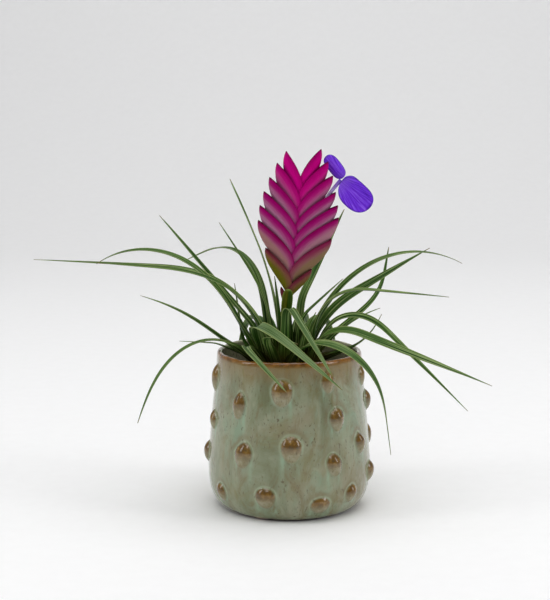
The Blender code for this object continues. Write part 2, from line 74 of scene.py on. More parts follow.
class Finish:
    """One surface finish: a Principled shader and the patterns that feed it."""

    def __init__(self, name, **shader):
        self.material = bpy.data.materials.new(name)
        self.material.use_nodes = True
        self.nodes = self.material.node_tree.nodes
        self.shader = self.nodes["Principled BSDF"]
        self.feed(self.shader, {socket_name(key): value for key, value in shader.items()})

    def feed(self, node, sockets):
        """Give sockets of a node, by name or number, a plain value or another node's output."""
        for key, value in sockets.items():
            if isinstance(value, bpy.types.NodeSocket):
                self.material.node_tree.links.new(value, node.inputs[key])
            else:
                node.inputs[key].default_value = value

    def add(self, kind, sockets, **settings):
        """Add a node, set it up and return its outputs."""
        node = self.nodes.new("ShaderNode" + kind)
        for key, value in settings.items():
            setattr(node, key, value)
        self.feed(node, sockets)
        return node.outputs

    def place(self, rise=1.0):
        """Where a point is on the object, in metres, its height multiplied by a rise."""
        return self.drawn(self.add("TexCoord", {})["Object"], (1.0, 1.0, rise))

    def drawn(self, vector, stretch):
        """A place with each axis multiplied by its stretch: under one, a pattern is drawn out along it."""
        return self.add("Mapping", {"Vector": vector, "Scale": stretch})["Vector"]

    def mark(self, name, output="Fac"):
        """A value that was worked out for each point of the surface."""
        return self.add("Attribute", {}, attribute_name=name)[output]

    def grain(self, vector, scale, detail=2.0, roughness=0.5, distortion=0.0):
        """Cloudy noise from 0 to 1."""
        return self.add("TexNoise", {"Vector": vector, "Scale": scale, "Detail": detail,
                                     "Roughness": roughness, "Distortion": distortion})[0]

    def ramp(self, share, *stops):
        """A tone for each place along a scale. A stop is a place and a swatch's three readings, or a grey."""
        node = self.nodes.new("ShaderNodeValToRGB")
        steps = node.color_ramp.elements
        while len(steps) < len(stops):
            steps.new(0.5)
        for step, (position, *tone) in zip(steps, stops):
            step.position = position
            step.color = swatch(*tone) if len(tone) == 3 else (*tone * 3, 1.0)
        self.feed(node, {0: share})
        return node.outputs[0]

    def over(self, share, under, upper):
        """One colour laid over another by a share."""
        return self.add("Mix", {0: share, 6: under, 7: upper}, data_type="RGBA")[2]

    def wash(self, under, upper, value, *stops):
        """One colour laid over another where a value, read through a ramp, says so."""
        return self.over(self.ramp(value, *stops), under, upper)

    def fade(self, value, low, high, at_low, at_high):
        """A number that runs from one figure to another while a value runs from low to high."""
        return self.add("MapRange", {0: value, 1: low, 2: high, 3: at_low, 4: at_high})[0]

    def times(self, value, by, plus=0.0, hold=True):
        """A number times a second plus a third, held between 0 and 1 unless told not to."""
        return self.add("Math", {0: value, 1: by, 2: plus}, operation="MULTIPLY_ADD", use_clamp=hold)[0]

    def relief(self, height, depth, under=None):
        """Fine relief of a given depth in metres, stacked on another if one is given."""
        sockets = {"Height": height, "Distance": depth, "Strength": 1.0}
        if under is not None:
            sockets["Normal"] = under
        return self.add("Bump", sockets)["Normal"]

    def finish(self, colour, **sockets):
        """Feed the colour, and any other socket, into the shader."""
        self.feed(self.shader, {"Base Color": colour})
        self.feed(self.shader, {socket_name(key): value for key, value in sockets.items()})
        return self.material


VIEWER_PLACE = (-0.0096, -1.0, 0.301)
VIEWER_TILT = 80.83  # degrees up from looking straight down
VIEWER_LENS = 90.9
VIEWER_FILM = 36.0
shown = bpy.context.scene.collection.objects
viewer = bpy.data.objects.new("viewer", bpy.data.cameras.new("viewer"))
shown.link(viewer)
viewer.location = VIEWER_PLACE
viewer.rotation_euler = (math.radians(VIEWER_TILT), 0.0, 0.0)
viewer.data.lens = VIEWER_LENS
viewer.data.sensor_width = VIEWER_FILM
bpy.context.scene.camera = viewer
bpy.context.scene.view_settings.view_transform = "Standard"

PAPER_FRONT = -4.0
PAPER_TURN = 1.3  # where the bend starts behind the pot
PAPER_BEND = 0.9  # its radius
PAPER_TOP = 4.0
PAPER_HALF_WIDTH = 5.0
bend = np.radians(np.linspace(0.0, 90.0, 25))
profile_y = np.concatenate(([PAPER_FRONT], PAPER_TURN + PAPER_BEND * np.sin(bend), [PAPER_TURN + PAPER_BEND]))
profile_z = np.concatenate(([0.0], PAPER_BEND * (1.0 - np.cos(bend)), [PAPER_TOP]))
sides = (-PAPER_HALF_WIDTH, PAPER_HALF_WIDTH)
edge = [[(side, y, z) for y, z in zip(profile_y, profile_z)] for side in sides]
count = len(profile_y)
sweep_mesh = bpy.data.meshes.new("paper_sweep")
strips = [(a, count + a, count + a + 1, a + 1) for a in range(count - 1)]
sweep_mesh.from_pydata(edge[0] + edge[1], [], strips)
sweep_mesh.shade_smooth()
sweep = bpy.data.objects.new("paper_sweep", sweep_mesh)
shown.link(sweep)
paper = Finish("white_paper", roughness=0.9)
fibre = paper.grain(paper.place(), 90.0, 3.0)
sweep_mesh.materials.append(paper.finish(paper.ramp(fibre, (0.3, 251, 251, 251), (0.7, 253, 253, 253))))

SOFT_BOXES = (
    # name, place, aim, width, depth, watts
    ("soft_box_top", (0.1, -0.25, 2.0), (0.0, -0.15, 0.0), 2.6, 1.45, 22.6),
    ("soft_box_left", (-1.7, -0.5, 0.9), (0.0, 0.0, 0.1), 0.5, 1.2, 6.6),
    ("soft_box_right", (1.7, -0.6, 0.9), (0.0, 0.0, 0.1), 0.5, 1.2, 7.6),
    ("soft_box_front", (-0.4, -1.7, 1.8), (0.0, 0.0, 0.1), 0.8, 0.5, 3.5),
    ("soft_box_paper", (0.0, 0.6, 2.4), (0.0, 2.2, 0.7), 3.0, 1.0, 8.2),
)
for name, at, aim, width, depth, power in SOFT_BOXES:
    lamp = bpy.data.lights.new(name, "AREA")
    lamp.shape = "RECTANGLE"
    lamp.size = width
    lamp.size_y = depth
    lamp.energy = power
    box = bpy.data.objects.new(name, lamp)
    box.location = at
    away = np.array(at) - np.array(aim)
    tilt, heading = math.atan2(math.hypot(away[0], away[1]), away[2]), math.atan2(away[0], -away[1])
    box.rotation_euler = (tilt, 0.0, heading)
    box.visible_camera = False
    shown.link(box)

ROOM_DIM = (0.18, 0.18, 0.185, 1.0)  # behind the viewer
ROOM_PALE = (0.42, 0.42, 0.425, 1.0)  # towards the paper
room = bpy.data.worlds.new("room")
bpy.context.scene.world = room
room.use_nodes = True
room_nodes = room.node_tree.nodes
facing = room_nodes.new("ShaderNodeSeparateXYZ")
room_nodes["Background"].inputs["Strength"].default_value = 1.0
room_tone = room_nodes.new("ShaderNodeValToRGB")
room_tone.color_ramp.elements[0].color = ROOM_DIM
room_tone.color_ramp.elements[1].color = ROOM_PALE
room_shift = room_nodes.new("ShaderNodeMapRange")
room_shift.inputs["From Min"].default_value = -1.0
room_shift.inputs["From Max"].default_value = 0.6
room_spot = room_nodes.new("ShaderNodeTexCoord")
for source, target in ((room_spot.outputs["Generated"], facing.inputs[0]),
                       (facing.outputs["Y"], room_shift.inputs["Value"]),
                       (room_shift.outputs[0], room_tone.inputs[0]),
                       (room_tone.outputs[0], room_nodes["Background"].inputs["Color"])):
    room.node_tree.links.new(source, target)


# ---------------------------------------------------------------- pot
# Hand-made stoneware, thrown as a bellied cylinder with an even lip, its knobs pressed out from inside.
# The celadon glaze breaks brown on the lip and the knobs, gathers pale round them and runs below.

POT_HEIGHT = 106 * MM
FOOT_RADIUS = 41 * MM
BELLY_RADIUS = 54.8 * MM
BELLY_HEIGHT = 33 * MM
LIP_RADIUS = 48.4 * MM
LIP_WALL = 3.4 * MM
BODY_WALL = 5.5 * MM
FLOOR_THICKNESS = 7 * MM
DRIP_AT = -25.0  # degrees from the front to a drop of glaze at the foot
POT_ROWS = 150
POT_LANES = 440
KNOBS = (
    # angle from the front towards the right, height, width, tallness, rise, point at the top
    (-77, 91, 11, 18, 3.4, 0.3), (-6, 88, 14, 17, 3.6, 0.0), (30, 94, 10, 14, 2.8, 0.4),
    (74, 92, 9, 13, 2.4, 0.3), (112, 88, 12, 16, 3.4, 0.1), (148, 93, 11, 15, 3.0, 0.6),
    (182, 87, 13, 17, 3.6, 0.0), (-146, 92, 11, 16, 3.2, 0.5), (-110, 86, 12, 15, 3.2, 0.2),
    (-72, 63, 9, 13, 3.2, 0.7), (-40, 78, 11, 18, 3.8, 0.8), (36, 69, 12, 15, 3.8, 0.1),
    (86, 74, 11, 14, 3.8, 0.4), (126, 66, 12, 16, 3.6, 0.6), (164, 64, 10, 15, 3.2, 0.1),
    (-160, 70, 12, 15, 3.6, 0.3), (-124, 63, 11, 15, 3.4, 0.5), (-84, 39, 10, 14, 3.4, 0.2),
    (-34, 46, 14, 17, 3.2, 0.6), (1, 52, 14, 17, 3.6, 0.0), (59, 50, 11, 14, 3.8, 0.6),
    (32, 40, 12, 15, 3.6, 0.5), (101, 47, 12, 16, 3.6, 0.1), (140, 42, 12, 15, 3.4, 0.4),
    (176, 44, 13, 17, 3.6, 0.6), (-148, 46, 11, 15, 3.4, 0.0), (-114, 38, 12, 15, 3.4, 0.4),
    (-17, 19, 14, 14, 3.0, 0.0), (22, 13, 14, 11, 2.0, 0.0), (48, 18, 11, 12, 3.2, 0.5),
    (77, 27, 12, 14, 3.6, 0.2), (118, 20, 12, 13, 3.2, 0.0), (156, 17, 12, 12, 3.0, 0.3),
    (-166, 21, 12, 13, 3.2, 0.5), (-134, 16, 11, 12, 3.0, 0.1), (-56, 17, 11, 12, 2.6, 0.4),
)


def ease(value):
    """Smooth step: three squares less two cubes of the value held between 0 and 1."""
    x = np.clip(value, 0.0, 1.0)
    return x * x * (3.0 - 2.0 * x)


def outer_radius(height):
    """Radius of the thrown wall: a quick curve out of the foot to the belly, then a slow taper to the lip."""
    below = np.clip((BELLY_HEIGHT - height) / BELLY_HEIGHT, 0.0, 1.0)
    above = np.clip((height - BELLY_HEIGHT) / (POT_HEIGHT - BELLY_HEIGHT), 0.0, 1.0)
    foot_curve = (BELLY_RADIUS - FOOT_RADIUS) * (1.0 - (1.0 - below ** 3.4) ** 0.55)
    taper = (BELLY_RADIUS - LIP_RADIUS) * (1.0 - (1.0 - above) ** 1.5) * (0.55 + 0.45 * above)
    return BELLY_RADIUS - foot_curve - taper


def inner_radius(height):
    """Radius of the inside: the outer radius less a wall that thins to the lip, closing to a flat floor."""
    wall = LIP_WALL + (BODY_WALL - LIP_WALL) * ease((POT_HEIGHT - height) / (25 * MM))
    corner = 7 * MM * (1.0 - ease((height - FLOOR_THICKNESS) / (12 * MM)))
    return outer_radius(height) - wall - corner


def knob_fields(turn, height):
    """Rise of the wall at the knobs, and where the glaze breaks, gathers and runs round them.

    A knob is an egg on the wall. Distance from its middle is the root of the squared shares of its
    half width and half height, the half width shrinking towards a pointed top. The rise is a power
    of one less the squared distance. The glaze breaks inside, gathers in a band at distance one, and
    runs down in two threads from the knob's flanks.
    """
    rise, crest, sink, gather, run, halo = (np.zeros_like(turn) for _ in range(6))
    for at, level, width, tall, proud, point in KNOBS:
        away = (turn - math.radians(at) + math.pi) % (2.0 * math.pi) - math.pi
        across = away * outer_radius(height) / (0.5 * width * MM)
        up = (height - level * MM) / (0.5 * tall * MM)
        up = np.where(up > 0.0, up * 1.15, up * 0.8)
        pinch = 1.0 - 0.45 * point * np.clip(up, 0.0, 1.0)
        lean = across - 0.35 * point * math.sin(7.0 * at) * np.clip(up, -0.6, 1.0)
        far = np.hypot(lean / pinch, up)
        reach = np.clip(1.0 - far ** 2, 0.0, 1.0)
        rise = np.maximum(rise, proud * MM * reach ** 0.8)
        crest = np.maximum(crest, ease((1.02 - far) / 0.18))
        sink = np.maximum(sink, ease((0.15 - up) / 0.7) * (far < 1.2))
        gather = np.maximum(gather, np.exp(-((far - 1.09) / 0.09) ** 2) * ease((up + 1.0) / 1.2))
        thread = np.exp(-((np.abs(across) - 0.8) / 0.3) ** 2) + 0.4 * np.exp(-(across / 0.5) ** 2)
        falling = ease((-up - 0.1) / 0.7) * (1.0 - ease((-up - 0.9) / 1.5))
        run = np.maximum(run, thread * falling * (1.0 - crest))
        halo = np.maximum(halo, np.exp(-((far - 1.45) / 0.3) ** 2) * ease((up + 0.3) / 0.8))
    fade = ease(height / (7 * MM)) * ease((POT_HEIGHT - 3 * MM - height) / (5 * MM))
    return rise * fade, crest * fade, sink, gather * fade, run, halo * fade


def close_rings(rings):
    """Faces of a body made of closed rings in order, each end drawn in to a point at its middle."""
    rows, wide = rings.shape[:2]
    index = np.arange(rows * wide).reshape(rows, wide)
    turned = np.roll(index, -1, axis=1)
    quads = np.stack((index[:-1], turned[:-1], turned[1:], index[1:]), -1).reshape(-1, 4)
    first, last = rows * wide, rows * wide + 1
    foot = np.stack((turned[0], index[0], np.full(wide, first)), -1)
    top = np.stack((index[-1], turned[-1], np.full(wide, last)), -1)
    points = np.concatenate((rings.reshape(-1, 3), [rings[0].mean(0), rings[-1].mean(0)]))
    return points, quads.tolist() + foot.tolist() + top.tolist()


def ring_mark(values):
    """A mark for each point of a body of rings, with its two end points."""
    return np.concatenate((values.reshape(-1), [values[0].mean(), values[-1].mean()]))


def set_piece(name, points, faces, material, slot, nodes, sharp=60.0, **marks):
    """Put a finished surface in its place: outward faces, smooth shading, marks, finish and its CAD node."""
    points = np.asarray(points, float)
    corners = [points[[face[i] for face in faces]] for i in (0, 1, 2)]
    back = [points[[face[-1] for face in faces]], corners[2]]
    volume = np.einsum("ij,ij->", corners[0], np.cross(corners[1], corners[2]))
    volume += np.einsum("ij,ij->", corners[0], np.cross(back[1], back[0]))
    mesh = bpy.data.meshes.new(name)
    mesh.from_pydata(points.tolist(), [], faces if volume > 0 else [face[::-1] for face in faces])
    mesh.shade_smooth()
    mesh.set_sharp_from_angle(angle=math.radians(sharp))
    for key, values in marks.items():
        values = np.asarray(values, np.float32)
        kind, field = ("FLOAT_VECTOR", "vector") if values.ndim == 2 else ("FLOAT", "value")
        mesh.attributes.new(key, kind, "POINT").data.foreach_set(field, values.reshape(-1))
    mesh.materials.append(material)
    piece = bpy.data.objects.new(name, mesh)
    shown.link(piece)
    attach(piece, "root")
    if nodes:
        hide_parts(*nodes)
    return piece


def wall_rings():
    """Rings of the pot from the foot, up the outside, over the lip, down the inside to the floor.

    Outside, the radius is the thrown radius plus the knobs' rise; the lip is half a circle across the
    wall; a hand's unevenness lifts the upper wall by a small sum of sines of the turn.
    """
    turn = np.linspace(0.0, 2.0 * math.pi, POT_LANES, endpoint=False)[None, :]
    outside = np.concatenate(([0.0, 0.35, 0.8], np.linspace(1.4, 103.0, POT_ROWS)))[:, None] * MM
    whole = np.broadcast_to(turn, (len(outside), turn.shape[1]))
    fields = knob_fields(whole, np.broadcast_to(outside, whole.shape))
    away = (whole - math.radians(DRIP_AT) + math.pi) % (2.0 * math.pi) - math.pi
    drip = np.exp(-(away / 0.08) ** 2 - ((outside - 1.0 * MM) / (1.3 * MM)) ** 2)
    undercut = 0.7 * MM * (1.0 - ease(outside / (1.2 * MM)))
    radius = outer_radius(outside) + fields[0] + 0.9 * MM * drip - undercut
    lip = 0.5 * LIP_WALL
    arc = np.radians(np.linspace(8.0, 180.0, 12))[:, None]
    inside = np.array((101.0, 97.0, 93.0, 90.0, 78.0, 62.0, 46.0, 32.0, 21.0, 13.0, 8.5))[:, None] * MM
    radii = [radius, LIP_RADIUS - lip + lip * np.cos(arc), inner_radius(inside)]
    heights = [outside, POT_HEIGHT - lip + lip * np.sin(arc), inside]
    height = np.concatenate([np.broadcast_to(h, (len(h), turn.shape[1])) for h in heights])
    radius = np.concatenate([np.broadcast_to(r, (len(r), turn.shape[1])) for r in radii])
    radius = np.concatenate((radius, radius[-1:] - 3 * MM))
    height = np.concatenate((height, np.full((1, turn.shape[1]), FLOOR_THICKNESS)))
    hand = 0.35 * np.sin(2 * turn + 0.6) + 0.22 * np.sin(5 * turn + 2.0) + 0.12 * np.sin(11 * turn)
    upper = ease((height - 60 * MM) / (46 * MM))
    rings = np.stack((radius * np.sin(turn), -radius * np.cos(turn), height + hand * upper * MM * 0.7), -1)
    empty = np.zeros((len(height) - len(outside), turn.shape[1]))
    names = ("crest", "sink", "gather", "run", "halo", "drip")
    marks = {key: np.concatenate((field, empty)) for key, field in zip(names, (*fields[1:], drip))}
    marks["inside"] = np.concatenate((np.zeros(whole.shape), np.ones(empty.shape)))
    marks["inside"][len(outside):len(outside) + 6] = 0.0
    return rings, marks


def make_glaze():
    """Celadon over an iron clay: grey-green and turquoise clouds, olive streaks, brown where it is thin."""
    glaze = Finish("celadon_glaze", roughness=0.13, ior=1.5, coat_weight=0.35, coat_roughness=0.05)
    level = glaze.add("SeparateXYZ", {0: glaze.place()})[2]
    soft = glaze.grain(glaze.place(0.55), 40.0, 5.0, 0.6, 0.6)
    colour = glaze.ramp(soft, (0.34, 110, 114, 78), (0.46, 126, 134, 102), (0.56, 142, 148, 118),
                        (0.66, 128, 148, 118))
    patch = glaze.grain(glaze.place(0.8), 30.0, 6.0, 0.7, 0.8)
    colour = glaze.wash(colour, swatch(122, 112, 66), patch, (0.49, 0.0), (0.63, 0.65))
    pink = glaze.grain(glaze.place(0.7), 33.0, 3.0)
    colour = glaze.wash(colour, swatch(152, 146, 122), pink, (0.50, 0.0), (0.72, 0.55))
    streak = glaze.grain(glaze.place(0.5), 62.0, 6.0, 0.68, 1.2)
    colour = glaze.wash(colour, swatch(112, 94, 50), streak, (0.50, 0.0), (0.68, 0.7))
    halo = glaze.times(glaze.mark("halo"), glaze.ramp(soft, (0.42, 0.0), (0.62, 0.75)))
    colour = glaze.over(halo, colour, swatch(122, 112, 76))
    thread = glaze.grain(glaze.place(0.2), 330.0, 3.0)
    run = glaze.times(glaze.mark("run"), glaze.ramp(thread, (0.36, 0.1), (0.62, 0.85)))
    colour = glaze.over(run, colour, swatch(142, 168, 138))
    mottle = glaze.grain(glaze.place(), 240.0, 4.0, 0.6)
    iron = glaze.ramp(mottle, (0.30, 72, 44, 2), (0.5, 110, 78, 22), (0.72, 146, 116, 56))
    iron_low = glaze.ramp(mottle, (0.35, 126, 114, 74), (0.65, 148, 144, 114))
    iron = glaze.over(glaze.mark("sink"), iron, iron_low)
    breaking = glaze.times(glaze.mark("crest"), glaze.ramp(mottle, (0.2, 0.75), (0.5, 1.0)))
    colour = glaze.over(breaking, colour, iron)
    colour = glaze.over(glaze.times(glaze.mark("gather"), 0.65), colour, swatch(164, 178, 146))
    wander = glaze.grain(glaze.place(0.3), 60.0, 3.0, 0.6)
    uneven = glaze.times(wander, -20 * MM, level, False)
    rim = glaze.fade(uneven, 78 * MM, 97 * MM, 0.0, 0.95)
    colour = glaze.over(rim, colour, swatch(126, 96, 36))
    lip = glaze.fade(level, 102.5 * MM, 105.2 * MM, 0.0, 1.0)
    colour = glaze.over(lip, colour, glaze.ramp(mottle, (0.3, 82, 46, 0), (0.65, 152, 98, 28)))
    inside = glaze.ramp(glaze.grain(glaze.place(), 70.0, 4.0), (0.35, 164, 162, 130), (0.65, 196, 196, 166))
    colour = glaze.over(glaze.mark("inside"), colour, inside)
    speck = glaze.grain(glaze.place(0.45), 720.0, 2.0, 0.5)
    where = glaze.grain(glaze.place(), 60.0, 2.0)
    dots = glaze.ramp(speck, (0.62, 0.0), (0.70, 1.0))
    specks = glaze.times(dots, glaze.ramp(where, (0.35, 0.15), (0.6, 0.8)))
    colour = glaze.over(specks, colour, swatch(84, 72, 44))
    foot = glaze.fade(level, 0.8 * MM, 2.2 * MM, 1.0, 0.0)
    colour = glaze.over(foot, colour, swatch(74, 50, 34))
    colour = glaze.over(glaze.mark("drip"), colour, swatch(168, 140, 118))
    waves = glaze.relief(glaze.grain(glaze.place(0.6), 55.0, 2.0), 0.9 * MM)
    skin = glaze.relief(glaze.grain(glaze.place(), 420.0, 3.0), 0.05 * MM, waves)
    shine = glaze.ramp(foot, (0.0, 0.12), (1.0, 0.8))
    return glaze.finish(colour, roughness=shine, normal=skin)


pot_rings, pot_marks = wall_rings()
set_piece("pot_body", *close_rings(pot_rings), make_glaze(), "celadon_glaze", ("pot",), 40.0,
          **{key: ring_mark(values) for key, values in pot_marks.items()})


# ---------------------------------------------------------------- potting mix
# Bark and peat fill the pot to 15 mm under the lip. The top is lumpy, with loose chips of bark lying
# on it, and it is nearly black in the shade of the rosette.

SOIL_LEVEL = 91 * MM
GAP = 0.3 * MM


def soil_height(x, y):
    """Level of the mix: sums of sines make lumps that die out under the plant and at the wall."""
    radius = np.hypot(x, y)
    lumps = np.sin(x * 410.0 + 1.3) * np.cos(y * 370.0 - 0.4) + 0.5 * np.sin(x * 900.0 - y * 760.0)
    lumps += 0.35 * np.sin(x * 2100.0 + y * 800.0) * np.sin(y * 1900.0 - x * 500.0)
    free = ease((radius - 27 * MM) / (4 * MM)) * ease((43.4 * MM - radius) / (3 * MM))
    return SOIL_LEVEL + 1.1 * MM * lumps * free


def mix_rings():
    """Rings of the mix: up the inside of the wall with a hair of air, then in over the lumpy top."""
    turn = np.linspace(0.0, 2.0 * math.pi, 120, endpoint=False)[None, :]
    side = np.array((9.2, 13.0, 21.0, 32.0, 46.0, 62.0, 78.0, 89.5))[:, None] * MM
    top = np.linspace(42.6, 1.5, 48)[:, None] * MM
    radius = np.concatenate(([[inner_radius(8.5 * MM) - 3.4 * MM]], inner_radius(side) - 2.0 * GAP, top))
    x, y = radius * np.sin(turn), -radius * np.cos(turn)
    height = np.concatenate(([[FLOOR_THICKNESS + GAP]], side, np.full(top.shape, SOIL_LEVEL)))
    height = np.broadcast_to(height, x.shape).copy()
    height[-len(top):] = soil_height(x[-len(top):], y[-len(top):])
    return np.stack((x, y, height), -1)


mix = Finish("bark_and_peat", roughness=0.9)
crumb = mix.grain(mix.place(), 420.0, 5.0, 0.7)
mix_colour = mix.ramp(crumb, (0.32, 22, 16, 12), (0.55, 52, 38, 28), (0.72, 98, 74, 54))
mix.finish(mix_colour, normal=mix.relief(crumb, 1.2 * MM))
set_piece("mix_body", *close_rings(mix_rings()), mix.material, "bark_and_peat", ("potting_mix",))


def chip_rings(seed, count):
    """Bark chips: flattened lumps whose radius is an ellipsoid's, roughened by sines, turned and tipped."""
    draw = np.random.default_rng(seed)
    across = np.linspace(0.0, math.pi, 6)[None, :, None]
    around = np.linspace(0.0, 2.0 * math.pi, 8, endpoint=False)[None, None, :]
    size = draw.uniform((1.4, 0.9, 0.4), (3.4, 2.0, 1.0), (count, 3))[:, None, None, :] * MM
    rough = draw.uniform(0.0, 6.3, (count, 1, 1))
    swell = 1.0 + 0.2 * np.sin(3 * around + rough) * np.sin(2 * across + rough)
    sphere = np.stack(np.broadcast_arrays(np.sin(across) * np.cos(around) * swell,
                                          np.sin(across) * np.sin(around) * swell,
                                          np.cos(across) * swell), -1)
    lump = np.sign(sphere) * np.abs(sphere) ** 0.8 * size
    spin, tip = draw.uniform(0.0, 6.3, (2, count, 1, 1))
    tip = 0.35 * np.sin(tip)
    x = lump[..., 0] * np.cos(tip) - lump[..., 2] * np.sin(tip)
    z = lump[..., 0] * np.sin(tip) + lump[..., 2] * np.cos(tip)
    turned = np.stack((x * np.cos(spin) - lump[..., 1] * np.sin(spin),
                       x * np.sin(spin) + lump[..., 1] * np.cos(spin), z), -1)
    away = draw.uniform(26.0, 40.0, count) * MM
    angle = draw.uniform(0.0, 2.0 * math.pi, count)
    spot = np.stack((away * np.cos(angle), away * np.sin(angle)), -1)
    level = soil_height(spot[:, 0], spot[:, 1]) + 0.6 * MM
    centre = np.concatenate((spot, level[:, None]), 1)
    return turned + centre[:, None, None, :], draw.uniform(0.0, 1.0, count)


def many_bodies(bodies):
    """Points and faces of several like bodies of rings as one mesh."""
    points, faces, offset = [], [], 0
    for rings in bodies:
        body_points, body_faces = close_rings(rings)
        points.append(body_points)
        faces.extend([index + offset for index in face] for face in body_faces)
        offset += len(body_points)
    return np.concatenate(points), faces


CHIP_SEED = 7
CHIP_COUNT = 170
chips, chip_tone = chip_rings(CHIP_SEED, CHIP_COUNT)
bark = Finish("bark_chip", roughness=0.85)
fibre = bark.grain(bark.drawn(bark.place(), (1.0, 2.4, 1.0)), 700.0, 4.0, 0.65)
dark_bark = bark.ramp(fibre, (0.3, 40, 26, 18), (0.7, 86, 60, 42))
pale_bark = bark.ramp(fibre, (0.3, 104, 76, 54), (0.7, 168, 130, 96))
bark.finish(bark.over(bark.mark("tone"), dark_bark, pale_bark), normal=bark.relief(fibre, 0.4 * MM))
set_piece("mix_chips", *many_bodies(chips), bark.material, "bark_and_peat", (),
          tone=np.repeat(chip_tone ** 2, chips.shape[1] * chips.shape[2] + 2))


# ---------------------------------------------------------------- crown
# The short squat stem at the level of the mix that every leaf grows from. It is maroon-black and
# ringed with the scars of old leaves.

CROWN_CENTRE = (-2 * MM, 0.0)
CROWN_RADIUS = 24.5 * MM
CROWN_HEIGHT = 3 * MM
CROWN_DOME = 3 * MM


def crown_top(radius):
    """Height of the crown's domed top: a parabola falling from its middle."""
    return SOIL_LEVEL + GAP + CROWN_HEIGHT + CROWN_DOME * (1.0 - (radius / CROWN_RADIUS) ** 2)


stem = Finish("crown_stem", roughness=0.7)
scars = stem.grain(stem.place(3.0), 260.0, 4.0, 0.6)
stem.finish(stem.ramp(scars, (0.35, 20, 12, 9), (0.7, 58, 38, 26)),
            normal=stem.relief(scars, 0.6 * MM))
crown_turn = np.linspace(0.0, 2.0 * math.pi, 96, endpoint=False)[None, :]
crown_radius = np.concatenate(([1.0], np.linspace(1.0, 0.05, 20)))[:, None] * CROWN_RADIUS
crown_level = np.concatenate(([[SOIL_LEVEL + GAP]], crown_top(crown_radius[1:])))
crown_level = crown_level + 0.25 * MM * np.sin(crown_radius * 3600.0) * (crown_level > SOIL_LEVEL + 2 * GAP)
crown_x = CROWN_CENTRE[0] + crown_radius * np.cos(crown_turn)
crown_y = CROWN_CENTRE[1] + crown_radius * np.sin(crown_turn)
crown_rings = np.stack(np.broadcast_arrays(crown_x, crown_y, crown_level), -1)
set_piece("crown_stem", *close_rings(crown_rings), stem.material, "crown_stem", ("crown",))
